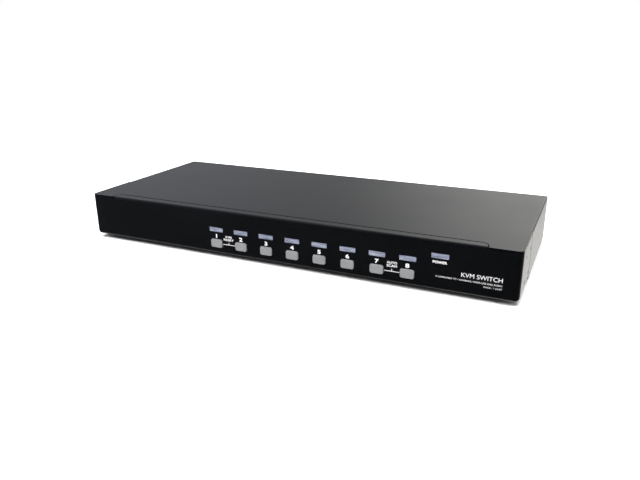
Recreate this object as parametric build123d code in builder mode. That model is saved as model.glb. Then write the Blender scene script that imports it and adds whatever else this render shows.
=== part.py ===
from build123d import *
import os

# A one rack unit KVM switch: a folded steel tray and cover, eight push buttons and nine light windows
# on the front, sockets for eight computers and one console on the rear, and three circuit boards inside.
# Millimetres. +X is to the right seen from the front, +Y runs from front to rear, +Z is up.
# The origin is the centre of the footprint, on the surface that the rubber feet stand on.

# Case
WIDTH = 440.0
DEPTH = 178.0
HEIGHT = 44.0
SHEET = 1.0
FOOT_HEIGHT = 4.0

# What stands proud of the front and rear walls
BUTTON_PROUD = 1.2
SHELL_PROUD = 5.0

FRONT_Y = BUTTON_PROUD - (BUTTON_PROUD + DEPTH + SHELL_PROUD) / 2
REAR_Y = FRONT_Y + DEPTH
BASE_Z = FOOT_HEIGHT
FLOOR_Z = BASE_Z + SHEET
TOP_Z = BASE_Z + HEIGHT
SIDE_X = WIDTH / 2
REAR_INNER_Y = REAR_Y - SHEET

# Tray: its closed front end, its top flange, and the floor and rear wall behind
END_DEPTH = 53.0
SIDE_SEAM = 2.0
END_CORNER = 4.2
END_EDGE = 3.6
END_TOP_GAP = 0.4
END_TOP_Z = TOP_Z - SHEET - END_TOP_GAP
BEND_RELIEF_START = 17.0
BEND_RELIEF = 0.45
FLANGE_HALF = 192.0
FLANGE_DEPTH = 9.6
FLANGE_CORNER = 7.0
FLANGE_BEND = 2.6
FLANGE_SLIT = 0.3
FLANGE_SEAM = 1.4
FLANGE_END_SEAM = 0.9
REAR_BEND = 2.0
SLIDING_GAP = 0.3
TRAY_HALF = SIDE_X - SHEET - SLIDING_GAP
REST_GAP = 0.2
REAR_TOP_Z = TOP_Z - SHEET - REST_GAP
SIDE_FLANGE_HEIGHT = 14.0

# Tapped holes for rack ears in each side of the tray's front end
EAR_HOLE_RADIUS = 1.65
EAR_COLLAR_RADIUS = 2.7
EAR_COLLAR_DEPTH = 1.6
EAR_FIRST_Y = FRONT_Y + 24.5
EAR_SPACING_Y = 24.0
EAR_LOW_Z = BASE_Z + 9.0
EAR_SPACING_Z = 22.0

# Cover
COVER_BEND = 1.8
TONGUE_HALF = 180.0
TONGUE_REACH = 5.5
TONGUE_LAP = 2.5
TAB_XS = (-100.0, 100.0)
TAB_WIDTH = 12.0
TAB_DROP = 9.0
TAB_GAP = 0.1
TAB_PLAY = 0.5
TAB_SCREW_Z = TOP_Z - 5.2
TAB_RELIEF = 1.5
HOOK_YS = (FRONT_Y + 78.0, REAR_Y - 34.0)
HOOK_LENGTH = 10.0
HOOK_REACH = 4.0
HOOK_Z = BASE_Z + 8.0
HOOK_SLIDE = 11.0
HOOK_PLAY = 0.4

# Front controls
PORTS = 8
PORT_PITCH = 27.5
FIRST_PORT_X = -65.2
BUTTON_Z = BASE_Z + 10.6
WINDOW_Z = BASE_Z + 24.45
POWER_WINDOW_Z = BASE_Z + 30.7
BUTTON_SIZE = (12.5, 8.3)
BUTTON_CORNER = 2.0
BUTTON_GAP = 0.3
BUTTON_HOLE_CORNER = BUTTON_CORNER + BUTTON_GAP
BUTTON_EDGE = 0.7
BUTTON_SHOULDER = 1.5
BUTTON_SHOULDER_THICKNESS = 1.2
BUTTON_SHOULDER_GAP = 0.1
BUTTON_STEM_RADIUS = 2.0
WINDOW_SIZE = (14.8, 4.2)
WINDOW_GAP = 0.1
WINDOW_CORNER = 0.4
WINDOW_DEPTH = 6.4
WINDOW_SHOULDER = 1.2
WINDOW_SHOULDER_THICKNESS = 1.2
LED_SIZE = (3.2, 1.6)
LED_HEIGHT = 1.2
LED_OFFSET = 3.6

# Circuit boards
BOARD = 1.6
FRONT_BOARD_Y = FRONT_Y + 9.5
FRONT_BOARD_X = (-86.0, 172.0)
FRONT_BOARD_Z = (BASE_Z + 3.5, BASE_Z + 38.0)
BOSS_HEIGHT = 5.0
MAIN_BOARD_Z = FLOOR_Z + BOSS_HEIGHT
MAIN_TOP_Z = MAIN_BOARD_Z + BOARD
MAIN_BOARD_X = (-206.0, 214.0)
MAIN_BOARD_Y = (FRONT_Y + 16.0, REAR_INNER_Y - 1.0)
VIDEO_BOARD_X = (-184.0, 183.0)
VIDEO_BOARD_Y = (REAR_Y - 92.0, REAR_INNER_Y - 2.0)
BOARD_CORNER = 2.0

# Tact switches behind the buttons
SWITCH_SIZE = 6.0
SWITCH_HEIGHT = 3.8
SWITCH_CHAMFER = 0.5
PLUNGER_RADIUS = 1.75
PLUNGER_GAP = 0.1
PLUNGER_PROUD = 1.5
PLUNGER_INSIDE = 1.6
PLUNGER_WELL = 2.6
SWITCH_FRONT_Y = FRONT_BOARD_Y - SWITCH_HEIGHT
PLUNGER_FRONT_Y = SWITCH_FRONT_Y - PLUNGER_PROUD

# Rear sockets: one column for each computer, and the console's beyond the first column
COLUMN_PITCH = 40.0
FIRST_COLUMN_X = 120.0
CUTOUT_GAP = 0.3
VIDEO_Z = BASE_Z + 31.0
VIDEO_ABOVE_BOARD = 6.3
CONSOLE_VIDEO_X = 164.0
SHELL_SIZE = (16.4, 8.0)
SHELL_SLANT = 80.0
SHELL_CORNER = 2.2
SHELL_WALL = 0.4
INSERT_GAP = 0.05
INSERT_RECESS = 0.4
CONTACT_RADIUS = 0.5
CONTACT_DEPTH = 4.0
CONTACT_PITCH = (2.29, 1.98)
CONTACT_SHIFT = 0.57
CONTACT_COLUMNS = 5
VIDEO_FLANGE = (30.8, 12.4)
VIDEO_FLANGE_THICKNESS = 0.8
VIDEO_FLANGE_CORNER = 1.0
VIDEO_BODY = (19.5, 12.4)
VIDEO_BODY_DEPTH = 9.0
JACKSCREW_SPACING = 25.0
JACKSCREW_RADIUS = 2.75
JACKSCREW_HEIGHT = 4.8
JACKSCREW_CHAMFER = 0.3
JACKSCREW_BORE = 1.25
JACKSCREW_BORE_DEPTH = 4.0
JACKSCREW_SHANK_LENGTH = 5.5
SOCKET_PROUD = 0.6
SOCKET_BACK = 1.4
TONGUE_RECESS = 1.2
USB_B_OFFSET = 8.5
USB_B_SIZE = (12.0, 10.8)
USB_B_MOUTH = (8.5, 7.8)
USB_B_CHAMFER = 1.9
USB_B_DEPTH = 16.0
USB_B_TONGUE = (5.6, 3.2)
USB_A_SIZE = (14.4, 6.9)
USB_A_MOUTH = (12.5, 5.1)
USB_A_DEPTH = 14.0
USB_A_TONGUE = (11.1, 1.9)
USB_A_TONGUE_RISE = 0.9
CONSOLE_USB_XS = (163.0, 181.5)
JACK_OFFSET = 9.5
JACK_GAP = 0.1
JACK_SIZE = (7.4, 7.0)
JACK_DEPTH = 14.0
JACK_NOSE_RADIUS = 3.0
JACK_NOSE_PROUD = 1.0
JACK_BORE_RADIUS = 1.8
JACK_BORE_DEPTH = 14.5
CONSOLE_JACK_X = 148.0
POWER_X = 203.0
POWER_SIZE = (9.2, 11.0)
POWER_DEPTH = 14.0
POWER_BORE_RADIUS = 3.2
POWER_BORE_DEPTH = 10.0
POWER_PIN_RADIUS = 1.05

# Fixings
THREAD_RADIUS = 1.45
TAPPED_RADIUS = 1.5
CLEAR_RADIUS = 1.65
SCREW_HEAD_RADIUS = 2.8
SCREW_HEAD_HEIGHT = 2.0
SCREW_HEAD_EDGE = 0.7
SCREW_LENGTH = 5.5
CROSS_SIZE = (3.0, 0.8)
CROSS_DEPTH = 1.1
SPACER_RADIUS = 2.9
SPACER_STUD = 5.6
SPACER_TAP_DEPTH = 10.0
PRESSED_RADIUS = 2.0
PRESSED_GAP = 0.03
BOSS_XS = (-196.0, -66.0, 66.0, 190.0)
BOSS_FRONT_Y = FRONT_Y + 32.0
SPACER_XS = (-176.0, -60.0, 60.0, 176.0)
SPACER_YS = (REAR_Y - 84.0, REAR_Y - 26.0)
FRONT_SPACER_XS = (-80.0, 30.5, 167.5)
FRONT_SPACER_Z = BASE_Z + 34.0
FOOT_RADIUS = 6.5
FOOT_TOP_RADIUS = 7.5
FOOT_EDGE = 0.6
FOOT_INSET = 22.0

# Chips and connectors on the boards
LARGE_CHIP = (20.0, 20.0, 1.8)
LARGE_CHIP_XS = (-120.0, 0.0, 120.0)
LARGE_CHIP_Y = FRONT_Y + 62.0
SMALL_CHIP = (10.0, 8.0, 1.4)
HUB_CHIP_XS = (-150.0, -90.0, -30.0, 30.0, 90.0, 150.0)
HUB_CHIP_Y = FRONT_Y + 86.0
CHIP_ROW_Y = REAR_Y - 42.0
LINK_X = -20.0
LINK_SIZE = (42.0, 5.0, 7.0)
LINK_POST = (38.0, 2.4, 2.0)
STACK_X = 100.0
STACK_Y = REAR_Y - 70.0
STACK_SIZE = (50.0, 5.0)
STACK_PLUG_SIZE = (48.0, 4.0)


def port_x(index):
    """X of the front control with this index. The power window comes after the last port."""
    return FIRST_PORT_X + index * PORT_PITCH


def column_x(index):
    """X of the rear column of sockets for computer number index + 1."""
    return FIRST_COLUMN_X - index * COLUMN_PITCH


PORT_XS = [port_x(index) for index in range(PORTS)]
COLUMN_XS = [column_x(index) for index in range(PORTS)]
WINDOW_PLACES = [(x, WINDOW_Z) for x in PORT_XS] + [(port_x(PORTS), POWER_WINDOW_Z)]
VIDEO_XS = COLUMN_XS + [CONSOLE_VIDEO_X]
USB_B_XS = [x + USB_B_OFFSET for x in COLUMN_XS]
JACK_XS = [x - JACK_OFFSET for x in COLUMN_XS] + [CONSOLE_JACK_X]
USB_B_Z = MAIN_TOP_Z + USB_B_SIZE[1] / 2
USB_A_Z = MAIN_TOP_Z + USB_A_SIZE[1] / 2
JACK_Z = MAIN_TOP_Z + JACK_SIZE[1] / 2
POWER_Z = MAIN_TOP_Z + POWER_SIZE[1] / 2
VIDEO_BOARD_Z = VIDEO_Z - VIDEO_ABOVE_BOARD - BOARD
VIDEO_BOARD_TOP_Z = VIDEO_BOARD_Z + BOARD
JACKSCREW_PLACES = [(x + side * JACKSCREW_SPACING / 2, VIDEO_Z) for x in VIDEO_XS for side in (-1, 1)]
EAR_PLACES = [(EAR_FIRST_Y + dy, EAR_LOW_Z + dz) for dy in (0, EAR_SPACING_Y) for dz in (0, EAR_SPACING_Z)]
SPACER_PLACES = [(x, y) for x in SPACER_XS for y in SPACER_YS]
BOSS_PLACES = [(x, BOSS_FRONT_Y) for x in BOSS_XS] + SPACER_PLACES
FRONT_SPACER_PLACES = [(x, FRONT_SPACER_Z) for x in FRONT_SPACER_XS]


def facing(y):
    """Plane across the case at depth y, with X and Z as its axes. Positive extrusions run to the front."""
    return Plane.XZ.offset(-y)


def upward(x, y, z):
    """Location at a point, with its own Z pointing up."""
    return Location((x, y, z))


def rearward(x, y, z):
    """Location at a point, with its own Z pointing to the rear and its Y down."""
    return Plane(origin=(x, y, z), x_dir=(-1, 0, 0), z_dir=(0, 1, 0)).location


def save(piece, name):
    """Labels a finished piece and writes it as the node of that name."""
    piece.part.label = name
    export_step(piece.part, f"parts/{name}.step")


def shell_outline(shrink):
    """Sketches the slanted outline of a video socket's shell, made smaller all round by shrink."""
    width = SHELL_SIZE[0] - 2 * shrink
    height = SHELL_SIZE[1] - 2 * shrink
    outline = Trapezoid(width, height, SHELL_SLANT, rotation=180)
    fillet(outline.vertices(), radius=SHELL_CORNER - shrink)


def chassis_tray():
    """Folded tray: closed front end with a top flange, floor, low side flanges and rear wall."""
    floor_start_y = FRONT_Y + END_DEPTH - SHEET
    with BuildPart() as tray:
        # The front end is a shell, open at the top and rear.
        with BuildSketch(Plane.XY.offset(BASE_Z)):
            with Locations((0, FRONT_Y + END_DEPTH / 2)):
                Rectangle(WIDTH, END_DEPTH)
        extrude(amount=END_TOP_Z - BASE_Z)
        fillet(tray.edges().filter_by(Axis.Z).group_by(Axis.Y)[0], radius=END_CORNER)
        rim = tray.faces().sort_by(Axis.Z)[0].edges()
        fillet(rim - rim.group_by(Axis.Y)[-1], radius=END_EDGE)
        offset(amount=-SHEET, openings=[tray.faces().sort_by(Axis.Z)[-1], tray.faces().sort_by(Axis.Y)[-1]])

        # The side returns sit lower where the cover's bend starts.
        with BuildSketch(Plane.XY.offset(END_TOP_Z)):
            with Locations((0, FRONT_Y + (BEND_RELIEF_START + END_DEPTH) / 2)):
                Rectangle(WIDTH, END_DEPTH - BEND_RELIEF_START)
        extrude(amount=-BEND_RELIEF, mode=Mode.SUBTRACT)

        # The middle of the front wall rises higher and folds back into the top flange.
        fold_start_z = TOP_Z - FLANGE_BEND - FLANGE_SLIT
        with BuildSketch(facing(FRONT_Y)):
            with Locations((0, (fold_start_z + TOP_Z) / 2)):
                Rectangle(2 * (FLANGE_HALF + FLANGE_END_SEAM), TOP_Z - fold_start_z)
        extrude(amount=-2 * SHEET, mode=Mode.SUBTRACT)
        with BuildSketch(Plane.YZ):
            with BuildLine():
                Polyline(
                    (FRONT_Y + SHEET, TOP_Z - FLANGE_BEND),
                    (FRONT_Y + SHEET, fold_start_z),
                    (FRONT_Y, fold_start_z),
                    (FRONT_Y, TOP_Z - FLANGE_BEND),
                )
                RadiusArc((FRONT_Y, TOP_Z - FLANGE_BEND), (FRONT_Y + FLANGE_BEND, TOP_Z), FLANGE_BEND)
                Polyline(
                    (FRONT_Y + FLANGE_BEND, TOP_Z),
                    (FRONT_Y + FLANGE_DEPTH, TOP_Z),
                    (FRONT_Y + FLANGE_DEPTH, TOP_Z - SHEET),
                    (FRONT_Y + FLANGE_BEND, TOP_Z - SHEET),
                )
                RadiusArc(
                    (FRONT_Y + FLANGE_BEND, TOP_Z - SHEET),
                    (FRONT_Y + SHEET, TOP_Z - FLANGE_BEND),
                    SHEET - FLANGE_BEND,
                )
            make_face()
        extrude(amount=FLANGE_HALF, both=True)
        rear_edges = tray.edges().filter_by(Axis.Z).filter_by_position(Axis.Z, TOP_Z - SHEET, TOP_Z)
        fillet(rear_edges.sort_by(Axis.Y)[-2:], radius=FLANGE_CORNER)

        # The floor runs back and folds up into the rear wall.
        with BuildSketch(Plane.YZ):
            with BuildLine():
                Polyline(
                    (REAR_Y - REAR_BEND, FLOOR_Z),
                    (floor_start_y, FLOOR_Z),
                    (floor_start_y, BASE_Z),
                    (REAR_Y - REAR_BEND, BASE_Z),
                )
                RadiusArc((REAR_Y - REAR_BEND, BASE_Z), (REAR_Y, BASE_Z + REAR_BEND), -REAR_BEND)
                Polyline(
                    (REAR_Y, BASE_Z + REAR_BEND),
                    (REAR_Y, REAR_TOP_Z),
                    (REAR_INNER_Y, REAR_TOP_Z),
                    (REAR_INNER_Y, BASE_Z + REAR_BEND),
                )
                RadiusArc(
                    (REAR_INNER_Y, BASE_Z + REAR_BEND),
                    (REAR_Y - REAR_BEND, FLOOR_Z),
                    REAR_BEND - SHEET,
                )
            make_face()
        extrude(amount=TRAY_HALF, both=True)

        # Low flanges stand along the floor's sides, with an L-shaped slot for each hook of the cover.
        hook_run = HOOK_LENGTH + HOOK_SLIDE + 2 * HOOK_PLAY
        entry_height = 2 * (BASE_Z + SIDE_FLANGE_HEIGHT - HOOK_Z) + SHEET
        for side in (-1, 1):
            with BuildSketch(Plane.YZ.offset(side * TRAY_HALF)):
                with Locations(((floor_start_y + REAR_INNER_Y) / 2, BASE_Z + SIDE_FLANGE_HEIGHT / 2)):
                    Rectangle(REAR_INNER_Y - floor_start_y, SIDE_FLANGE_HEIGHT)
                for y in HOOK_YS:
                    with Locations((y + HOOK_SLIDE / 2, HOOK_Z)):
                        Rectangle(hook_run, SHEET + 2 * HOOK_PLAY, mode=Mode.SUBTRACT)
                    with Locations((y + HOOK_SLIDE, BASE_Z + SIDE_FLANGE_HEIGHT)):
                        Rectangle(HOOK_LENGTH + 2 * HOOK_PLAY, entry_height, mode=Mode.SUBTRACT)
            extrude(amount=-side * SHEET)

        # Collars pressed inwards make room for the rack ear threads.
        for side in (-1, 1):
            with BuildSketch(Plane.YZ.offset(side * (SIDE_X - SHEET))):
                with Locations(*EAR_PLACES):
                    Circle(EAR_COLLAR_RADIUS)
            extrude(amount=-side * EAR_COLLAR_DEPTH)
            with BuildSketch(Plane.YZ.offset(side * SIDE_X)):
                with Locations(*EAR_PLACES):
                    Circle(EAR_HOLE_RADIUS)
            extrude(amount=-side * (SHEET + EAR_COLLAR_DEPTH), mode=Mode.SUBTRACT)

        # Front cut-outs for the windows and the buttons.
        with BuildSketch(facing(FRONT_Y)):
            with Locations(*WINDOW_PLACES):
                RectangleRounded(*(size + 2 * WINDOW_GAP for size in WINDOW_SIZE), WINDOW_CORNER)
            with Locations(*[(x, BUTTON_Z) for x in PORT_XS]):
                RectangleRounded(*(size + 2 * BUTTON_GAP for size in BUTTON_SIZE), BUTTON_HOLE_CORNER)
        extrude(amount=-SHEET, mode=Mode.SUBTRACT)

        # Rear cut-outs for the sockets, their screws and the cover's tabs.
        with BuildSketch(facing(REAR_Y)):
            with Locations(*[(x, VIDEO_Z) for x in VIDEO_XS]):
                shell = Trapezoid(
                    SHELL_SIZE[0] + 2 * CUTOUT_GAP, SHELL_SIZE[1] + 2 * CUTOUT_GAP, SHELL_SLANT, rotation=180
                )
            fillet(shell.vertices(), radius=SHELL_CORNER + CUTOUT_GAP)
            with Locations(*JACKSCREW_PLACES):
                Circle(CLEAR_RADIUS)
            with Locations(*[(x, USB_B_Z) for x in USB_B_XS]):
                Rectangle(USB_B_SIZE[0] + 2 * CUTOUT_GAP, USB_B_SIZE[1] + 2 * CUTOUT_GAP)
            with Locations(*[(x, USB_A_Z) for x in CONSOLE_USB_XS]):
                Rectangle(USB_A_SIZE[0] + 2 * CUTOUT_GAP, USB_A_SIZE[1] + 2 * CUTOUT_GAP)
            with Locations(*[(x, JACK_Z) for x in JACK_XS]):
                Circle(JACK_NOSE_RADIUS + CUTOUT_GAP)
            with Locations((POWER_X, POWER_Z)):
                Rectangle(POWER_SIZE[0] + 2 * CUTOUT_GAP, POWER_SIZE[1] + 2 * CUTOUT_GAP)
            with Locations(*[(x, TAB_SCREW_Z) for x in TAB_XS]):
                Circle(TAPPED_RADIUS)
            with Locations(*[(x, REAR_TOP_Z) for x in TAB_XS]):
                Rectangle(TAB_WIDTH + 2 * TAB_PLAY, 2 * SHEET)
        extrude(amount=SHEET, mode=Mode.SUBTRACT)

        # Round holes in the floor take the pressed ends of the boards' bosses.
        with BuildSketch(Plane.XY.offset(BASE_Z)):
            with Locations(*BOSS_PLACES):
                Circle(PRESSED_RADIUS)
        extrude(amount=SHEET, mode=Mode.SUBTRACT)
    save(tray, "chassis_tray")


def top_cover():
    """Cover: top sheet with sides behind the tray's front end, a tongue, side hooks and two rear tabs."""
    seam_y = FRONT_Y + END_DEPTH + SIDE_SEAM
    sides_depth = REAR_Y - seam_y
    notch_y = FRONT_Y + FLANGE_DEPTH + FLANGE_SEAM
    tongue_z = TOP_Z - SHEET - REST_GAP
    tab_root_y = REAR_Y - 2 * SHEET
    tab_y = REAR_Y + TAB_GAP + SHEET
    with BuildPart() as cover:
        with BuildSketch(Plane.XY.offset(BASE_Z)):
            with Locations((0, seam_y + sides_depth / 2)):
                Rectangle(WIDTH, sides_depth)
        extrude(amount=HEIGHT)
        fillet(cover.faces().sort_by(Axis.Z)[-1].edges().filter_by(Axis.Y), radius=COVER_BEND)
        ends = cover.faces().filter_by(Axis.Y)
        offset(amount=-SHEET, openings=[cover.faces().sort_by(Axis.Z)[0], *ends])

        # The top runs forward over the tray's front end and leaves room for the flange.
        with BuildSketch(Plane.XY.offset(TOP_Z)):
            with Locations((0, FRONT_Y + END_DEPTH / 2 + SIDE_SEAM)):
                plate = Rectangle(WIDTH, END_DEPTH + 2 * SIDE_SEAM)
            fillet(plate.vertices().group_by(Axis.Y)[0], radius=END_CORNER)
            with Locations((0, FRONT_Y)):
                RectangleRounded(
                    2 * (FLANGE_HALF + FLANGE_END_SEAM),
                    2 * (FLANGE_DEPTH + FLANGE_SEAM),
                    FLANGE_CORNER + FLANGE_SEAM,
                    mode=Mode.SUBTRACT,
                )
        extrude(amount=-SHEET)

        # A joggled tongue passes under the flange and holds the cover's front down.
        with BuildSketch(Plane.YZ):
            with BuildLine():
                Polyline(
                    (notch_y - TONGUE_REACH, tongue_z - SHEET),
                    (notch_y + TONGUE_LAP, tongue_z - SHEET),
                    (notch_y + TONGUE_LAP, TOP_Z - SHEET),
                    (notch_y + SHEET, TOP_Z - SHEET),
                    (notch_y + SHEET, tongue_z),
                    (notch_y - TONGUE_REACH, tongue_z),
                    close=True,
                )
            make_face()
        extrude(amount=TONGUE_HALF, both=True)

        # Two tabs fold down over the rear wall, each between two relief cuts.
        for x in TAB_XS:
            with BuildSketch(Plane.YZ.offset(x)):
                with BuildLine():
                    Polyline(
                        (tab_y - COVER_BEND, TOP_Z),
                        (tab_root_y, TOP_Z),
                        (tab_root_y, TOP_Z - SHEET),
                        (tab_y - COVER_BEND, TOP_Z - SHEET),
                    )
                    RadiusArc(
                        (tab_y - COVER_BEND, TOP_Z - SHEET),
                        (tab_y - SHEET, TOP_Z - COVER_BEND),
                        COVER_BEND - SHEET,
                    )
                    Polyline(
                        (tab_y - SHEET, TOP_Z - COVER_BEND),
                        (tab_y - SHEET, TOP_Z - TAB_DROP),
                        (tab_y, TOP_Z - TAB_DROP),
                        (tab_y, TOP_Z - COVER_BEND),
                    )
                    RadiusArc((tab_y, TOP_Z - COVER_BEND), (tab_y - COVER_BEND, TOP_Z), -COVER_BEND)
                make_face()
            extrude(amount=TAB_WIDTH / 2, both=True)
        with BuildSketch(facing(REAR_Y)):
            with Locations(*[(x, TAB_SCREW_Z) for x in TAB_XS]):
                Circle(CLEAR_RADIUS)
        extrude(amount=-2 * SHEET, mode=Mode.SUBTRACT)
        with BuildSketch(Plane.XY.offset(TOP_Z)):
            for x in TAB_XS:
                with Locations(*[(x + side * (TAB_WIDTH + TAB_RELIEF) / 2, REAR_Y) for side in (-1, 1)]):
                    Rectangle(TAB_RELIEF, 2 * TAB_RELIEF)
        extrude(amount=-SHEET, mode=Mode.SUBTRACT)

        # Hooks point inwards from the sides, through the slots in the tray's flanges.
        for side in (-1, 1):
            with BuildSketch(Plane.XY.offset(HOOK_Z - SHEET / 2)):
                with Locations(*[(side * (SIDE_X - (SHEET + HOOK_REACH) / 2), y) for y in HOOK_YS]):
                    Rectangle(SHEET + HOOK_REACH, HOOK_LENGTH)
            extrude(amount=SHEET)
    save(cover, "top_cover")


def button_caps():
    """One cap for each port button: a soft-edged head, a shoulder behind the wall and a stem."""
    for number, x in enumerate(PORT_XS, 1):
        shoulder_y = FRONT_Y + SHEET + BUTTON_SHOULDER_GAP
        with BuildPart() as cap:
            with BuildSketch(facing(shoulder_y)):
                with Locations((x, BUTTON_Z)):
                    RectangleRounded(*BUTTON_SIZE, BUTTON_CORNER)
            extrude(amount=shoulder_y - FRONT_Y + BUTTON_PROUD)
            fillet(cap.faces().sort_by(Axis.Y)[0].edges(), radius=BUTTON_EDGE)
            with BuildSketch(facing(shoulder_y)):
                with Locations((x, BUTTON_Z)):
                    RectangleRounded(*(size + 2 * BUTTON_SHOULDER for size in BUTTON_SIZE), BUTTON_CORNER)
            extrude(amount=-BUTTON_SHOULDER_THICKNESS)
            with BuildSketch(facing(shoulder_y)):
                with Locations((x, BUTTON_Z)):
                    Circle(BUTTON_STEM_RADIUS)
            extrude(amount=shoulder_y - PLUNGER_FRONT_Y)
        save(cap, f"button_cap_{number}")


def switch_plungers():
    """The moving plunger of each tact switch, which the button's stem rests on."""
    for number, x in enumerate(PORT_XS, 1):
        with BuildPart() as plunger:
            with BuildSketch(facing(PLUNGER_FRONT_Y)):
                with Locations((x, BUTTON_Z)):
                    Circle(PLUNGER_RADIUS)
            extrude(amount=-(PLUNGER_PROUD + PLUNGER_INSIDE))
        save(plunger, f"switch_plunger_{number}")


def switch_housings():
    """Square housings of the tact switches, each with a well for its plunger."""
    places = [(x, BUTTON_Z) for x in PORT_XS]
    with BuildPart() as housings:
        with BuildSketch(facing(FRONT_BOARD_Y)):
            with Locations(*places):
                Rectangle(SWITCH_SIZE, SWITCH_SIZE)
        extrude(amount=SWITCH_HEIGHT)
        chamfer(housings.edges().filter_by(Axis.Y), length=SWITCH_CHAMFER)
        with BuildSketch(facing(SWITCH_FRONT_Y)):
            with Locations(*places):
                Circle(PLUNGER_RADIUS + PLUNGER_GAP)
        extrude(amount=-PLUNGER_WELL, mode=Mode.SUBTRACT)
    save(housings, "switch_housings")


def light_windows():
    """Light windows, flush with the front wall, each held by a shoulder behind it."""
    names = [f"status_window_{number}" for number in range(1, PORTS + 1)] + ["power_window"]
    for name, (x, z) in zip(names, WINDOW_PLACES):
        with BuildPart() as window:
            with BuildSketch(facing(FRONT_Y)):
                with Locations((x, z)):
                    RectangleRounded(*WINDOW_SIZE, WINDOW_CORNER)
            extrude(amount=-WINDOW_DEPTH)
            with BuildSketch(facing(FRONT_Y + SHEET)):
                with Locations((x, z)):
                    RectangleRounded(*(size + 2 * WINDOW_SHOULDER for size in WINDOW_SIZE), WINDOW_CORNER)
            extrude(amount=-WINDOW_SHOULDER_THICKNESS)
        save(window, name)


def indicator_leds():
    """Two light-emitting diodes behind each status window, and one behind the power window."""
    places = [(x + side * LED_OFFSET, WINDOW_Z) for x in PORT_XS for side in (-1, 1)]
    places.append(WINDOW_PLACES[-1])
    with BuildPart() as leds:
        with BuildSketch(facing(FRONT_BOARD_Y)):
            with Locations(*places):
                Rectangle(*LED_SIZE)
        extrude(amount=LED_HEIGHT)
    save(leds, "indicator_leds")


def front_board():
    """Upright board behind the front wall, which carries the switches and the lights."""
    width = FRONT_BOARD_X[1] - FRONT_BOARD_X[0]
    height = FRONT_BOARD_Z[1] - FRONT_BOARD_Z[0]
    with BuildPart() as board:
        with BuildSketch(facing(FRONT_BOARD_Y)):
            with Locations((sum(FRONT_BOARD_X) / 2, sum(FRONT_BOARD_Z) / 2)):
                RectangleRounded(width, height, BOARD_CORNER)
            with Locations(*FRONT_SPACER_PLACES):
                Circle(CLEAR_RADIUS, mode=Mode.SUBTRACT)
        extrude(amount=-BOARD)
    save(board, "front_board")


def flat_board(name, x_span, y_span, z, holes):
    """A level board with rounded corners and fixing holes, its underside at height z."""
    with BuildPart() as board:
        with BuildSketch(Plane.XY.offset(z)):
            with Locations((sum(x_span) / 2, sum(y_span) / 2)):
                RectangleRounded(x_span[1] - x_span[0], y_span[1] - y_span[0], BOARD_CORNER)
            with Locations(*holes):
                Circle(CLEAR_RADIUS, mode=Mode.SUBTRACT)
        extrude(amount=BOARD)
    save(board, name)


def video_sockets():
    """Metal parts of the video sockets: flange against the wall's inside, shell through it, rear body."""
    names = [f"computer_video_socket_{number}" for number in range(1, PORTS + 1)] + ["console_video_socket"]
    body_y = REAR_INNER_Y - VIDEO_FLANGE_THICKNESS
    for name, x in zip(names, VIDEO_XS):
        with BuildPart() as socket:
            with BuildSketch(facing(REAR_INNER_Y)):
                with Locations((x, VIDEO_Z)):
                    RectangleRounded(*VIDEO_FLANGE, VIDEO_FLANGE_CORNER)
                with Locations(*[(x + side * JACKSCREW_SPACING / 2, VIDEO_Z) for side in (-1, 1)]):
                    Circle(TAPPED_RADIUS, mode=Mode.SUBTRACT)
            extrude(amount=VIDEO_FLANGE_THICKNESS)
            with BuildSketch(facing(REAR_INNER_Y)):
                with Locations((x, VIDEO_Z)):
                    shell_outline(0)
            extrude(amount=-(SHEET + SHELL_PROUD))
            with BuildSketch(facing(body_y)):
                with Locations((x, VIDEO_Z)):
                    Rectangle(*VIDEO_BODY)
            extrude(amount=VIDEO_BODY_DEPTH)
            with BuildSketch(facing(REAR_Y + SHELL_PROUD)):
                with Locations((x, VIDEO_Z)):
                    shell_outline(SHELL_WALL)
            extrude(amount=SHELL_PROUD + SHEET, mode=Mode.SUBTRACT)
        save(socket, name)


def video_socket_inserts():
    """Plastic inserts that fill the video sockets' shells, each with three rows of five contacts."""
    columns = [index - (CONTACT_COLUMNS - 1) / 2 for index in range(CONTACT_COLUMNS)]
    contacts = [
        (column * CONTACT_PITCH[0] + shift * CONTACT_SHIFT, row * CONTACT_PITCH[1])
        for row, shift in ((1, 1), (0, -1), (-1, 1))
        for column in columns
    ]
    face_y = REAR_Y + SHELL_PROUD - INSERT_RECESS
    with BuildPart() as inserts:
        for x in VIDEO_XS:
            with BuildSketch(facing(face_y)):
                with Locations((x, VIDEO_Z)):
                    shell_outline(SHELL_WALL + INSERT_GAP)
            extrude(amount=face_y - REAR_INNER_Y)
        with BuildSketch(facing(face_y)):
            with Locations(*[(x + dx, VIDEO_Z + dz) for x in VIDEO_XS for dx, dz in contacts]):
                Circle(CONTACT_RADIUS)
        extrude(amount=CONTACT_DEPTH, mode=Mode.SUBTRACT)
    save(inserts, "video_socket_inserts")


def computer_usb_sockets():
    """Square USB sockets, one for each computer, with a tongue in the mouth."""
    face_y = REAR_Y + SOCKET_PROUD
    for number, x in enumerate(USB_B_XS, 1):
        with BuildPart() as socket:
            with BuildSketch(facing(face_y)):
                with Locations((x, USB_B_Z)):
                    Rectangle(*USB_B_SIZE)
            extrude(amount=USB_B_DEPTH)
            with BuildSketch(facing(face_y)):
                with Locations((x, USB_B_Z)):
                    mouth = Rectangle(*USB_B_MOUTH)
                chamfer(mouth.vertices().group_by(Axis.Z)[-1], length=USB_B_CHAMFER)
            extrude(amount=USB_B_DEPTH - SOCKET_BACK, mode=Mode.SUBTRACT)
            with BuildSketch(facing(face_y - TONGUE_RECESS)):
                with Locations((x, USB_B_Z)):
                    Rectangle(*USB_B_TONGUE)
            extrude(amount=USB_B_DEPTH - TONGUE_RECESS)
        save(socket, f"computer_usb_socket_{number}")


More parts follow.
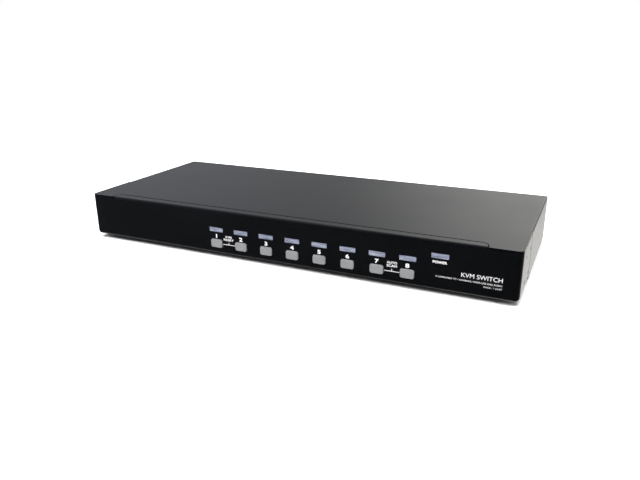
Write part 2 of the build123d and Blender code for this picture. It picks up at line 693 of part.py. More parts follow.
def console_usb_sockets():
    """Two flat USB sockets for the console's keyboard and mouse."""
    face_y = REAR_Y + SOCKET_PROUD
    with BuildPart() as sockets:
        with BuildSketch(facing(face_y)):
            with Locations(*[(x, USB_A_Z) for x in CONSOLE_USB_XS]):
                Rectangle(*USB_A_SIZE)
        extrude(amount=USB_A_DEPTH)
        with BuildSketch(facing(face_y)):
            with Locations(*[(x, USB_A_Z) for x in CONSOLE_USB_XS]):
                Rectangle(*USB_A_MOUTH)
        extrude(amount=USB_A_DEPTH - SOCKET_BACK, mode=Mode.SUBTRACT)
        with BuildSketch(facing(face_y - TONGUE_RECESS)):
            with Locations(*[(x, USB_A_Z + USB_A_TONGUE_RISE) for x in CONSOLE_USB_XS]):
                Rectangle(*USB_A_TONGUE)
        extrude(amount=USB_A_DEPTH - TONGUE_RECESS)
    save(sockets, "console_usb_sockets")


def audio_jacks():
    """Sound jacks: a body on the main board and a round nose through the rear wall, bored for the plug."""
    body_y = REAR_INNER_Y - JACK_GAP
    nose_y = REAR_Y + JACK_NOSE_PROUD
    places = [(x, JACK_Z) for x in JACK_XS]
    with BuildPart() as jacks:
        with BuildSketch(facing(body_y)):
            with Locations(*places):
                Rectangle(*JACK_SIZE)
        extrude(amount=JACK_DEPTH)
        with BuildSketch(facing(body_y)):
            with Locations(*places):
                Circle(JACK_NOSE_RADIUS)
        extrude(amount=body_y - nose_y)
        with BuildSketch(facing(nose_y)):
            with Locations(*places):
                Circle(JACK_BORE_RADIUS)
        extrude(amount=JACK_BORE_DEPTH, mode=Mode.SUBTRACT)
    save(jacks, "audio_jacks")


def power_jack():
    """Low-voltage power inlet: a block with a round well and a centre pin."""
    face_y = REAR_Y + SOCKET_PROUD
    with BuildPart() as jack:
        with BuildSketch(facing(face_y)):
            with Locations((POWER_X, POWER_Z)):
                Rectangle(*POWER_SIZE)
        extrude(amount=POWER_DEPTH)
        with BuildSketch(facing(face_y)):
            with Locations((POWER_X, POWER_Z)):
                Circle(POWER_BORE_RADIUS)
                Circle(POWER_PIN_RADIUS, mode=Mode.SUBTRACT)
        extrude(amount=POWER_BORE_DEPTH, mode=Mode.SUBTRACT)
        with BuildSketch(facing(face_y)):
            with Locations((POWER_X, POWER_Z)):
                Circle(POWER_PIN_RADIUS)
        extrude(amount=TONGUE_RECESS, mode=Mode.SUBTRACT)
    save(jack, "power_jack")


def socket_jackscrews():
    """Hexagonal screws that hold the video sockets to the rear wall and take a cable's thumbscrews."""
    with BuildPart() as jackscrew:
        with BuildSketch():
            RegularPolygon(JACKSCREW_RADIUS, 6)
        extrude(amount=JACKSCREW_HEIGHT)
        chamfer(jackscrew.faces().sort_by(Axis.Z)[-1].edges(), length=JACKSCREW_CHAMFER)
        Cylinder(THREAD_RADIUS, JACKSCREW_SHANK_LENGTH, align=(Align.CENTER, Align.CENTER, Align.MAX))
        with Locations((0, 0, JACKSCREW_HEIGHT)):
            Hole(JACKSCREW_BORE, JACKSCREW_BORE_DEPTH)
    with BuildPart() as jackscrews:
        with Locations(*[rearward(x, REAR_Y, z) for x, z in JACKSCREW_PLACES]):
            add(jackscrew.part)
    save(jackscrews, "socket_jackscrews")


def pan_screws(name, locations, cover_thickness):
    """Pan head screws, each with its head resting on what it holds, cover_thickness thick."""
    with BuildPart() as screw:
        Cylinder(SCREW_HEAD_RADIUS, SCREW_HEAD_HEIGHT, align=(Align.CENTER, Align.CENTER, Align.MIN))
        fillet(screw.faces().sort_by(Axis.Z)[-1].edges(), radius=SCREW_HEAD_EDGE)
        length = SCREW_LENGTH + cover_thickness
        Cylinder(THREAD_RADIUS, length, align=(Align.CENTER, Align.CENTER, Align.MAX))
        with BuildSketch(Plane.XY.offset(SCREW_HEAD_HEIGHT)):
            Rectangle(*CROSS_SIZE)
            Rectangle(*reversed(CROSS_SIZE))
        extrude(amount=-CROSS_DEPTH, mode=Mode.SUBTRACT)
    with BuildPart() as screws:
        with Locations(*locations):
            add(screw.part)
    save(screws, name)


def board_spacers():
    """Bosses pressed into the floor, spacers between the two level boards, and studs on the front wall."""
    with BuildPart() as spacers:
        with BuildSketch(Plane.XY.offset(FLOOR_Z)):
            with Locations(*BOSS_PLACES):
                Circle(SPACER_RADIUS)
        extrude(amount=BOSS_HEIGHT)
        with BuildSketch(Plane.XY.offset(BASE_Z)):
            with Locations(*BOSS_PLACES):
                Circle(PRESSED_RADIUS - PRESSED_GAP)
        extrude(amount=SHEET)
        with BuildSketch(Plane.XY.offset(MAIN_BOARD_Z)):
            with Locations(*BOSS_PLACES):
                Circle(TAPPED_RADIUS)
        extrude(amount=-BOSS_HEIGHT, mode=Mode.SUBTRACT)
        with BuildSketch(Plane.XY.offset(MAIN_TOP_Z)):
            with Locations(*SPACER_PLACES):
                RegularPolygon(SPACER_RADIUS, 6)
        extrude(amount=VIDEO_BOARD_Z - MAIN_TOP_Z)
        with BuildSketch(Plane.XY.offset(MAIN_TOP_Z)):
            with Locations(*SPACER_PLACES):
                Circle(THREAD_RADIUS)
        extrude(amount=-SPACER_STUD)
        with BuildSketch(Plane.XY.offset(VIDEO_BOARD_Z)):
            with Locations(*SPACER_PLACES):
                Circle(TAPPED_RADIUS)
        extrude(amount=-SPACER_TAP_DEPTH, mode=Mode.SUBTRACT)
        with BuildSketch(facing(FRONT_BOARD_Y)):
            with Locations(*FRONT_SPACER_PLACES):
                Circle(SPACER_RADIUS)
                Circle(TAPPED_RADIUS, mode=Mode.SUBTRACT)
        extrude(amount=FRONT_BOARD_Y - FRONT_Y - SHEET)
    save(spacers, "board_spacers")


def rubber_feet():
    """Four round feet under the corners, a little wider at the top."""
    xs = (-SIDE_X + FOOT_INSET, SIDE_X - FOOT_INSET)
    ys = (FRONT_Y + FOOT_INSET, REAR_Y - FOOT_INSET)
    with BuildPart() as foot:
        Cone(FOOT_RADIUS, FOOT_TOP_RADIUS, FOOT_HEIGHT, align=(Align.CENTER, Align.CENTER, Align.MIN))
        fillet(foot.faces().sort_by(Axis.Z)[0].edges(), radius=FOOT_EDGE)
    with BuildPart() as feet:
        with Locations(*[upward(x, y, 0) for x in xs for y in ys]):
            add(foot.part)
    save(feet, "rubber_feet")


def integrated_circuits():
    """Chips: a controller and two hubs on the main board, and a switch chip for each video socket."""
    large_places = [upward(x, LARGE_CHIP_Y, MAIN_TOP_Z) for x in LARGE_CHIP_XS]
    video_places = [upward(x, CHIP_ROW_Y, VIDEO_BOARD_TOP_Z) for x in VIDEO_XS]
    hub_places = [upward(x, HUB_CHIP_Y, MAIN_TOP_Z) for x in HUB_CHIP_XS]
    with BuildPart() as chips:
        with Locations(*large_places):
            Box(*LARGE_CHIP, align=(Align.CENTER, Align.CENTER, Align.MIN))
        with Locations(*video_places, *hub_places):
            Box(*SMALL_CHIP, align=(Align.CENTER, Align.CENTER, Align.MIN))
    save(chips, "integrated_circuits")


def board_connectors():
    """Connectors between the boards: front board to main board, and main board to video board."""
    front_rear_y = FRONT_BOARD_Y + BOARD
    link_z = MAIN_TOP_Z + LINK_SIZE[2] / 2
    stack_middle_z = (MAIN_TOP_Z + VIDEO_BOARD_Z) / 2
    with BuildPart() as connectors:
        with BuildSketch(facing(front_rear_y)):
            with Locations((LINK_X, link_z)):
                Rectangle(LINK_SIZE[0], LINK_SIZE[2])
        extrude(amount=-LINK_SIZE[1])
        with BuildSketch(facing(front_rear_y + LINK_SIZE[1])):
            with Locations((LINK_X, link_z)):
                Rectangle(LINK_POST[0], LINK_POST[2])
        extrude(amount=-LINK_POST[1])
        with BuildSketch(Plane.XY.offset(MAIN_TOP_Z)):
            with Locations((STACK_X, STACK_Y)):
                Rectangle(*STACK_SIZE)
        extrude(amount=stack_middle_z - MAIN_TOP_Z)
        with BuildSketch(Plane.XY.offset(VIDEO_BOARD_Z)):
            with Locations((STACK_X, STACK_Y)):
                Rectangle(*STACK_PLUG_SIZE)
        extrude(amount=stack_middle_z - VIDEO_BOARD_Z)
    save(connectors, "board_connectors")


def build():
    """Makes every piece of the switch."""
    os.makedirs("parts", exist_ok=True)
    chassis_tray()
    top_cover()
    button_caps()
    switch_plungers()
    switch_housings()
    light_windows()
    indicator_leds()
    front_board()
    flat_board("main_board", MAIN_BOARD_X, MAIN_BOARD_Y, MAIN_BOARD_Z, BOSS_PLACES)
    flat_board("video_board", VIDEO_BOARD_X, VIDEO_BOARD_Y, VIDEO_BOARD_Z, SPACER_PLACES)
    video_sockets()
    video_socket_inserts()
    computer_usb_sockets()
    console_usb_sockets()
    audio_jacks()
    power_jack()
    socket_jackscrews()
    board_spacers()
    rubber_feet()
    integrated_circuits()
    board_connectors()
    tab_face_y = REAR_Y + TAB_GAP + SHEET
    pan_screws("cover_screws", [rearward(x, tab_face_y, TAB_SCREW_Z) for x in TAB_XS], SHEET)
    main_heads = [upward(x, BOSS_FRONT_Y, MAIN_TOP_Z) for x in BOSS_XS]
    video_heads = [upward(x, y, VIDEO_BOARD_TOP_Z) for x, y in SPACER_PLACES]
    front_heads = [rearward(x, FRONT_BOARD_Y + BOARD, z) for x, z in FRONT_SPACER_PLACES]
    pan_screws("board_screws", main_heads + video_heads + front_heads, 0)


build()
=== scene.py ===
"""Looks of a rack-size switch box for one console and eight computers, built around its CAD frame.

Lengths are in metres. +X is to the right seen from the front, +Y runs from front to rear and +Z is up.
Every place comes from the frame's boxes, so each piece lies where the CAD model says.
"""

from __future__ import annotations

import logging
import math
from collections.abc import Iterable, Sequence
from dataclasses import dataclass, field
from enum import Enum
from typing import Any, Union

import bmesh
import bpy
from mathutils import Matrix, Vector


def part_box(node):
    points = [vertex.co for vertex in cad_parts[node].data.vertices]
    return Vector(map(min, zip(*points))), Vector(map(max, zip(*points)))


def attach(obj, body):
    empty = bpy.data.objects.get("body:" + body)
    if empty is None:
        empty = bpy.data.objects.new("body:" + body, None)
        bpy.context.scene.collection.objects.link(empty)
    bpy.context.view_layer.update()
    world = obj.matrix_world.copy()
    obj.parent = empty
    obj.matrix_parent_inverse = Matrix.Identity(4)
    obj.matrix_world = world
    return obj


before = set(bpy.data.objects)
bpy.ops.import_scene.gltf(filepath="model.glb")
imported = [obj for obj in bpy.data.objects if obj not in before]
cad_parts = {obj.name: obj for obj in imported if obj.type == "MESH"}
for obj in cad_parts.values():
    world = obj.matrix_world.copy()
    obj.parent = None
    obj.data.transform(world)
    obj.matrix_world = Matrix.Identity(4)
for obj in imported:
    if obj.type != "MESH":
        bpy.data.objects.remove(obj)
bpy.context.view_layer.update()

LOG = logging.getLogger("switch_box")
MM = 0.001
PORTS = 8
PORT_NUMBERS = range(1, PORTS + 1)
INK_FILM = 0.012 * MM

Colour = tuple[float, float, float]
Point = tuple[float, float, float]


# --------------------------------------------------------------------------------------------------
# Shader maths


@dataclass(frozen=True)
class Wire:
    """One output socket of a node. Python operators on it add the Math nodes that they stand for."""

    tree: bpy.types.NodeTree
    socket: bpy.types.NodeSocket

    def math(self, operation: str, *values: Union[Wire, float]) -> Wire:
        """Adds a Math node.

        Args:
            operation: The Math node's operation, such as "ADD".
            values: Its inputs, in order, as numbers or other wires.

        Returns:
            The node's result.
        """
        node = self.tree.nodes.new("ShaderNodeMath")
        node.operation = operation
        for slot, value in zip(node.inputs, values):
            if isinstance(value, Wire):
                self.tree.links.new(value.socket, slot)
            else:
                slot.default_value = value
        return Wire(self.tree, node.outputs[0])

    def __add__(self, other: Union[Wire, float]) -> Wire:
        """self + other."""
        return self.math("ADD", self, other)

    def __radd__(self, other: float) -> Wire:
        """other + self."""
        return self.math("ADD", other, self)

    def __sub__(self, other: Union[Wire, float]) -> Wire:
        """self - other."""
        return self.math("SUBTRACT", self, other)

    def __rsub__(self, other: float) -> Wire:
        """other - self."""
        return self.math("SUBTRACT", other, self)

    def __mul__(self, other: Union[Wire, float]) -> Wire:
        """self * other."""
        return self.math("MULTIPLY", self, other)

    def __rmul__(self, other: float) -> Wire:
        """other * self."""
        return self.math("MULTIPLY", other, self)

    def __truediv__(self, other: Union[Wire, float]) -> Wire:
        """self / other."""
        return self.math("DIVIDE", self, other)

    def __gt__(self, other: Union[Wire, float]) -> Wire:
        """1 where self is greater than other, and 0 elsewhere."""
        return self.math("GREATER_THAN", self, other)

    def __lt__(self, other: Union[Wire, float]) -> Wire:
        """1 where self is less than other, and 0 elsewhere."""
        return self.math("LESS_THAN", self, other)

    def of_self(self, operation: str) -> Wire:
        """The result of an operation that has one input, such as "SQRT"."""
        return self.math(operation, self)

    def distance_to(self, value: float) -> Wire:
        """The size of the difference from a value."""
        return (self - value).of_self("ABSOLUTE")

    def between(self, low: float, high: float) -> Wire:
        """Rises smoothly from 0 at low to 1 at high."""
        node = self.tree.nodes.new("ShaderNodeMapRange")
        node.interpolation_type = "SMOOTHSTEP"
        self.tree.links.new(self.socket, node.inputs["Value"])
        node.inputs["From Min"].default_value = low
        node.inputs["From Max"].default_value = high
        return Wire(self.tree, node.outputs["Result"])


class Graph:
    """A node tree while its nodes are being put together."""

    def __init__(self, tree: bpy.types.NodeTree) -> None:
        """Works on a node tree."""
        self.tree = tree

    def node(
        self,
        kind: str,
        settings: dict[str, Any] | None = None,
        inputs: dict[Union[str, int], Any] | None = None,
        output: Union[str, int, None] = 0,
    ) -> Wire | None:
        """Adds any node.

        Args:
            kind: The node's type, without its ShaderNode prefix.
            settings: Its settings, set first. "stops" holds a colour ramp's (position, colour) pairs.
            inputs: Values or wires for its sockets, by name or by index.
            output: The socket that is returned, by name or by index, or None for a node that has none.

        Returns:
            The chosen output.
        """
        node = self.tree.nodes.new("ShaderNode" + kind)
        for key, value in (settings or {}).items():
            if key == "stops":
                self._set_stops(node.color_ramp, value)
            else:
                setattr(node, key, value)
        for key, value in (inputs or {}).items():
            self._feed(node.inputs[key], value)
        return None if output is None else Wire(self.tree, node.outputs[output])

    @staticmethod
    def _set_stops(ramp: bpy.types.ColorRamp, stops: Sequence[tuple[float, Colour]]) -> None:
        """Gives a colour ramp its stops."""
        while len(ramp.elements) < len(stops):
            ramp.elements.new(1.0)
        for element, (position, colour) in zip(ramp.elements, stops):
            element.position = position
            element.color = (*colour, 1.0)

    def _feed(self, slot: bpy.types.NodeSocket, value: Any) -> None:
        """Links a wire to a socket, or sets the socket's own value."""
        if isinstance(value, Wire):
            self.tree.links.new(value.socket, slot)
        elif slot.type == "RGBA" and len(value) == 3:
            slot.default_value = (*value, 1.0)
        else:
            slot.default_value = value

    def split(self, vector: Wire) -> tuple[Wire, Wire, Wire]:
        """The X, Y and Z of a vector."""
        first = self.node("SeparateXYZ", inputs={"Vector": vector}, output="X")
        node = first.socket.node
        return first, Wire(self.tree, node.outputs["Y"]), Wire(self.tree, node.outputs["Z"])

    def mix(self, share: Union[Wire, float], first: Any, second: Any) -> Wire:
        """Mixes two colours: first where share is 0, second where it is 1."""
        inputs = {"Factor": share, 6: first, 7: second}
        return self.node("Mix", {"data_type": "RGBA"}, inputs, output=2)


class Recipe(Graph):
    """One material while its nodes are being put together."""

    def __init__(self, name: str) -> None:
        """Starts a material that holds a Principled shader and its output."""
        self.material = bpy.data.materials.new(name)
        self.material.use_nodes = True
        super().__init__(self.material.node_tree)
        self.shader = self.tree.nodes["Principled BSDF"]

    def places(self) -> Wire:
        """Each point's place on the object, in metres."""
        return self.node("TexCoord", output="Object")

    def axes(self) -> tuple[Wire, Wire, Wire]:
        """The X, Y and Z of each point's place."""
        return self.split(self.places())

    def stretched(self, factors: Point) -> Wire:
        """Each point's place, with each axis multiplied by its factor."""
        return self.node("VectorMath", {"operation": "MULTIPLY"}, {0: self.places(), 1: factors})

    def noise(self, size: float, detail: float = 2.0, place: Wire | None = None) -> Wire:
        """Soft noise from 0 to 1.

        Args:
            size: The size of its patches, in metres.
            detail: How many finer layers it has.
            place: Where it is read, or each point's place if it is left out.

        Returns:
            The noise.
        """
        settings = {"Vector": place or self.places(), "Scale": 1.0 / size, "Detail": detail}
        return self.node("TexNoise", inputs=settings, output="Fac")

    def bump(self, height: Wire, depth: float, strength: float = 1.0) -> Wire:
        """A normal that follows a height from 0 to 1, where 1 stands depth metres above 0."""
        inputs = {"Height": height, "Distance": depth, "Strength": strength}
        return self.node("Bump", inputs=inputs, output="Normal")

    def finish(self, **sockets: Any) -> bpy.types.Material:
        """Sets the shader's sockets, with _ for each space in a socket's name.

        Args:
            sockets: Values or wires by socket name.

        Returns:
            The finished material.
        """
        for name, value in sockets.items():
            self._feed(self.shader.inputs[name.replace("_", " ")], value)
        return self.material


# --------------------------------------------------------------------------------------------------
# Finishes


@dataclass(frozen=True)
class PowderCoat:
    """Baked powder paint on sheet steel: satin, very dark, with a fine pebbled skin."""

    name: str = "case_paint"
    dark: Colour = (0.0011, 0.0013, 0.0022)
    light: Colour = (0.0022, 0.0026, 0.0038)
    roughness: float = 0.34
    pebble: float = 0.9 * MM
    grain: float = 0.22 * MM
    cloud: float = 60 * MM
    depth: float = 0.010 * MM
    gloss: float = 0.25

    def make(self) -> bpy.types.Material:
        """Builds the material."""
        recipe = Recipe(self.name)
        pebbles = recipe.noise(self.pebble, 1.0)
        grain = recipe.noise(self.grain, 1.0)
        clouds = recipe.noise(self.cloud, 3.0)
        height = pebbles * 0.75 + grain * 0.25
        colour = recipe.mix((clouds * 0.6 + grain * 0.4).between(0.3, 0.7), self.dark, self.light)
        rough = self.roughness + pebbles * 0.08 + clouds * 0.06
        return recipe.finish(
            Base_Color=colour,
            Roughness=rough,
            Normal=recipe.bump(height, self.depth, 0.5),
            Specular_IOR_Level=self.gloss,
        )


@dataclass(frozen=True)
class MouldedPlastic:
    """Injection-moulded plastic with a spark-eroded skin."""

    name: str
    colour: Colour
    variation: float = 0.10
    roughness: float = 0.45
    grain: float = 0.25 * MM
    flow: float = 9 * MM
    depth: float = 0.010 * MM

    def make(self) -> bpy.types.Material:
        """Builds the material."""
        recipe = Recipe(self.name)
        grain = recipe.noise(self.grain, 2.0)
        flow = recipe.noise(self.flow, 2.0)
        darker = tuple(c * (1 - self.variation) for c in self.colour)
        lighter = tuple(min(1.0, c * (1 + self.variation)) for c in self.colour)
        return recipe.finish(
            Base_Color=recipe.mix((grain * 0.5 + flow * 0.5).between(0.3, 0.7), darker, lighter),
            Roughness=self.roughness + grain * 0.12,
            Normal=recipe.bump(grain, self.depth, 0.6),
        )


@dataclass(frozen=True)
class LightPipe:
    """Milky tinted acrylic, drawn into faint level streaks."""

    name: str = "window_plastic"
    shade: Colour = (0.100, 0.113, 0.170)
    tint: Colour = (0.180, 0.200, 0.265)
    pale: Colour = (0.285, 0.305, 0.380)
    streak: float = 0.70 * MM
    streak_stretch: Point = (0.045, 1.0, 1.0)
    haze: float = 4 * MM
    depth: float = 0.006 * MM

    def make(self) -> bpy.types.Material:
        """Builds the material."""
        recipe = Recipe(self.name)
        streaks = recipe.noise(self.streak, 2.0, recipe.stretched(self.streak_stretch))
        haze = recipe.noise(self.haze, 2.0)
        share = (streaks * 0.8 + haze * 0.2).between(0.32, 0.66)
        stops = [(0.0, self.shade), (0.5, self.tint), (1.0, self.pale)]
        return recipe.finish(
            Base_Color=recipe.node("ValToRGB", {"stops": stops}, {"Fac": share}, "Color"),
            Roughness=0.22 + streaks * 0.15,
            Normal=recipe.bump(streaks, self.depth, 0.4),
            Coat_Weight=0.3,
            Coat_Roughness=0.08,
        )


@dataclass(frozen=True)
class PlatedSteel:
    """Stamped steel with a bright plating: fine drawn lines, soft stains and small scratches."""

    name: str
    colour: Colour = (0.60, 0.585, 0.555)
    roughness: float = 0.22
    drawn_along: Point = (1.0, 0.06, 1.0)
    line: float = 0.16 * MM
    stain: float = 3.5 * MM
    stain_shade: float = 0.72
    depth: float = 0.004 * MM

    def make(self) -> bpy.types.Material:
        """Builds the material."""
        recipe = Recipe(self.name)
        lines = recipe.noise(self.line, 2.0, recipe.stretched(self.drawn_along))
        stains = recipe.noise(self.stain, 3.0)
        dull = tuple(c * self.stain_shade for c in self.colour)
        return recipe.finish(
            Base_Color=recipe.mix(stains.between(0.35, 0.75), self.colour, dull),
            Metallic=0.96 + stains * 0.04,
            Roughness=self.roughness + lines * 0.12 + stains * 0.10,
            Normal=recipe.bump(lines, self.depth, 0.4),
        )


@dataclass(frozen=True)
class CircuitBoard:
    """Solder-masked laminate: copper tracks and pads show through a green film."""

    name: str = "board_laminate"
    film: Colour = (0.006, 0.085, 0.032)
    over_copper: Colour = (0.020, 0.160, 0.050)
    pitch: float = 2.2 * MM
    track_share: float = 0.32
    bend: float = 14 * MM
    area: float = 22 * MM
    weave: float = 0.5 * MM
    copper_depth: float = 0.035 * MM

    def make(self) -> bpy.types.Material:
        """Builds the material."""
        recipe = Recipe(self.name)
        x, y, z = recipe.axes()
        bends = recipe.noise(self.bend, 1.0) * (3 * self.pitch)
        run = (x + y + z + bends) / self.pitch
        tracks = run.of_self("FRACT").distance_to(0.5) < self.track_share / 2
        areas = recipe.noise(self.area, 0.0) > 0.52
        copper = tracks * areas
        weave = recipe.noise(self.weave, 2.0)
        return recipe.finish(
            Base_Color=recipe.mix(copper * 0.85 + weave * 0.15, self.film, self.over_copper),
            Roughness=0.25 + weave * 0.15,
            Normal=recipe.bump(copper + weave * 0.2, self.copper_depth, 0.7),
            Coat_Weight=0.4,
            Coat_Roughness=0.15,
        )


@dataclass(frozen=True)
class ScreenInk:
    """Opaque ink pressed through a mesh: slightly uneven, with a dry surface."""

    name: str
    colour: Colour = (0.80, 0.80, 0.80)
    mesh: float = 0.12 * MM
    patch: float = 1.6 * MM
    thin_shade: float = 0.82
    depth: float = 0.004 * MM

    def make(self) -> bpy.types.Material:
        """Builds the material."""
        recipe = Recipe(self.name)
        mesh = recipe.noise(self.mesh, 2.0)
        patches = recipe.noise(self.patch, 2.0)
        thin = tuple(c * self.thin_shade for c in self.colour)
        return recipe.finish(
            Base_Color=recipe.mix((mesh * 0.5 + patches * 0.5).between(0.25, 0.6), thin, self.colour),
            Roughness=0.5 + mesh * 0.2,
            Normal=recipe.bump(mesh, self.depth, 0.5),
        )


@dataclass(frozen=True)
class Rubber:
    """Moulded rubber: dull, dark and dusty in places."""

    name: str = "foot_rubber"
    colour: Colour = (0.012, 0.012, 0.012)
    dust: Colour = (0.045, 0.043, 0.040)
    grain: float = 0.35 * MM
    patch: float = 5 * MM
    depth: float = 0.02 * MM

    def make(self) -> bpy.types.Material:
        """Builds the material."""
        recipe = Recipe(self.name)
        grain = recipe.noise(self.grain, 3.0)
        patches = recipe.noise(self.patch, 3.0)
        share = (patches * 0.7 + grain * 0.3).between(0.45, 0.75)
        return recipe.finish(
            Base_Color=recipe.mix(share, self.colour, self.dust),
            Roughness=0.72 + grain * 0.18,
            Normal=recipe.bump(grain, self.depth, 0.6),
        )


@dataclass(frozen=True)
class FloorPaper:
    """Seamless studio paper: off-white, with a barely visible tooth."""

    name: str = "floor_paper"
    colour: Colour = (0.93, 0.93, 0.945)
    tooth: float = 3 * MM
    tooth_shade: float = 0.97
    depth: float = 0.05 * MM
    gloss: float = 0.1

    def make(self) -> bpy.types.Material:
        """Builds the material."""
        recipe = Recipe(self.name)
        tooth = recipe.noise(self.tooth, 3.0)
        shade = tuple(c * self.tooth_shade for c in self.colour)
        return recipe.finish(
            Base_Color=recipe.mix(tooth, shade, self.colour),
            Roughness=0.85 + tooth * 0.1,
            Normal=recipe.bump(tooth, self.depth, 0.2),
            Specular_IOR_Level=self.gloss,
        )


# --------------------------------------------------------------------------------------------------
# Helpers for meshes and places


class Facing(Enum):
    """Which way a printed or applied piece looks."""

    FRONT = "front"
    REAR = "rear"

    def turn(self) -> Matrix:
        """The turn from the XY plane, read from above, to this wall of the case."""
        upright = Matrix.Rotation(math.radians(90), 4, "X")
        if self is Facing.FRONT:
            return upright
        return Matrix.Rotation(math.radians(180), 4, "Z") @ upright


def node_box(name: str) -> tuple[Vector, Vector]:
    """The lowest and highest corners of a CAD node."""
    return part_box(name)


def node_centre(name: str) -> Vector:
    """The middle of a CAD node's box."""
    low, high = node_box(name)
    return (low + high) / 2


def dress(names: Iterable[str], material: bpy.types.Material) -> None:
    """Gives CAD nodes a material.

    Args:
        names: The nodes.
        material: What they are finished in.
    """
    for name in names:
        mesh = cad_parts[name].data
        mesh.materials.clear()
        mesh.materials.append(material)


def soften(name: str, width: float) -> None:
    """Breaks a CAD node's sharp edges by a small width, as deburring and paint do."""
    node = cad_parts[name]
    weld = node.modifiers.new("weld", "WELD")
    weld.merge_threshold = 0.002 * MM
    bevel = node.modifiers.new("soften", "BEVEL")
    bevel.width = width
    bevel.segments = 2
    bevel.limit_method = "ANGLE"
    bevel.angle_limit = math.radians(50)
    bevel.harden_normals = True


def place_piece(name: str, mesh: bpy.types.Mesh, material: bpy.types.Material) -> None:
    """Adds a piece to the scene and lets it ride on the case.

    Args:
        name: The piece's name.
        mesh: Its mesh, already in the CAD frame.
        material: What it is finished in.
    """
    piece = bpy.data.objects.new(name, mesh)
    bpy.context.scene.collection.objects.link(piece)
    mesh.materials.clear()
    mesh.materials.append(material)
    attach(piece, "root")
    LOG.info("piece %s: %d faces", name, len(mesh.polygons))


@dataclass(frozen=True)
class Lettering:
    """Printed words or numbers: a thin film of ink on a wall."""

    text: str
    height: float
    weight: float = 0.0
    stretch: float = 1.0
    width: float = 0.0
    film: float = INK_FILM

    def mesh(self, centre: Vector, facing: Facing) -> bpy.types.Mesh:
        """Sets the text, centred at a point on the wall. It is as wide as width says, or natural at 0.

        Args:
            centre: The middle of the text, on the wall's surface.
            facing: Which wall it is on.

        Returns:
            A mesh in the CAD frame.
        """
        curve = bpy.data.curves.new("setting", "FONT")
        curve.body = self.text
        curve.size = 1.0
        curve.resolution_u = 6
        curve.offset = self.weight
        curve.extrude = 0.01
        holder = bpy.data.objects.new("setting", curve)
        mesh = bpy.data.meshes.new_from_object(holder)
        bpy.data.objects.remove(holder)
        bpy.data.curves.remove(curve)
        xs = [v.co.x for v in mesh.vertices]
        ys = [v.co.y for v in mesh.vertices]
        zs = [v.co.z for v in mesh.vertices]
        scale = self.height / (max(ys) - min(ys))
        across = self.width / (max(xs) - min(xs)) if self.width else scale * self.stretch
        middle = Vector(((max(xs) + min(xs)) / 2, (max(ys) + min(ys)) / 2, min(zs)))
        sizes = Matrix.Diagonal((across, scale, self.film / (max(zs) - min(zs)), 1.0))
        mesh.transform(Matrix.Translation(centre) @ facing.turn() @ sizes @ Matrix.Translation(-middle))
        return mesh


def slab(bm: bmesh.types.BMesh, low: Sequence[float], high: Sequence[float]) -> None:
    """Adds a closed block between two corners to a mesh."""
    block = bmesh.ops.create_cube(bm, size=1.0)
    size = [b - a for a, b in zip(low, high)]
    middle = [(a + b) / 2 for a, b in zip(low, high)]
    matrix = Matrix.Translation(middle) @ Matrix.Diagonal((*size, 1.0))
    bmesh.ops.transform(bm, matrix=matrix, verts=block["verts"])


def solids_of(name: str) -> list[tuple[Vector, Vector]]:
    """The boxes of a CAD node's separate solids, from left to right.

    Args:
        name: The node.

    Returns:
        Each solid's lowest and highest corner.
    """
    bm = bmesh.new()
    bm.from_mesh(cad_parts[name].data)
    bmesh.ops.remove_doubles(bm, verts=bm.verts, dist=0.001 * MM)
    waiting = set(bm.verts)
    boxes = []
    while waiting:
        reached = [waiting.pop()]
        for vert in reached:
            near = {edge.other_vert(vert) for edge in vert.link_edges} & waiting
            waiting -= near
            reached.extend(near)
        low = Vector([min(vert.co[axis] for vert in reached) for axis in range(3)])
        high = Vector([max(vert.co[axis] for vert in reached) for axis in range(3)])
        boxes.append((low, high))
    bm.free()
    return sorted(boxes, key=lambda box: tuple(round(c, 6) for c in box[0]))


def mesh_of(bm: bmesh.types.BMesh, name: str) -> bpy.types.Mesh:
    """Turns a bmesh into a mesh, with its normals facing outwards."""
    bmesh.ops.recalc_face_normals(bm, faces=bm.faces)
    mesh = bpy.data.meshes.new(name)
    bm.to_mesh(mesh)
    bm.free()
    return mesh


def joined(meshes: Sequence[bpy.types.Mesh], name: str) -> bpy.types.Mesh:
    """Joins several meshes into one."""
    bm = bmesh.new()
    for mesh in meshes:
        bm.from_mesh(mesh)
        bpy.data.meshes.remove(mesh)
    return mesh_of(bm, name)


# --------------------------------------------------------------------------------------------------
# Sub-assemblies


@dataclass
class Case:
    """Painted steel tray and cover, with the screws and feet that go with them."""

    edge: float = 0.12 * MM
    paint: PowderCoat = field(default_factory=PowderCoat)

    def build(self) -> None:
        """Dresses the case."""
        dress(("chassis_tray", "top_cover"), self.paint.make())
        for name in ("chassis_tray", "top_cover"):
            soften(name, self.edge)
        dress(("rubber_feet",), Rubber().make())
        dress(("cover_screws",), PlatedSteel("screw_black", (0.035, 0.035, 0.037), 0.35).make())
        LOG.info("case: tray, cover, feet and cover screws dressed")


@dataclass
class Buttons:
    """The row of push buttons and the switches behind them."""

    cap_finish: MouldedPlastic = MouldedPlastic("button_plastic", (0.208, 0.212, 0.218), 0.06, 0.42)

    def build(self) -> None:
        """Dresses the caps, plungers and housings."""
        plunger_finish = MouldedPlastic("plunger_plastic", (0.62, 0.6, 0.53))
        housing_finish = MouldedPlastic("switch_plastic", (0.02, 0.02, 0.021))
        dress([f"button_cap_{i}" for i in PORT_NUMBERS], self.cap_finish.make())
        dress([f"switch_plunger_{i}" for i in PORT_NUMBERS], plunger_finish.make())
        dress(("switch_housings",), housing_finish.make())
        LOG.info("buttons: %d caps and their switches dressed", PORTS)


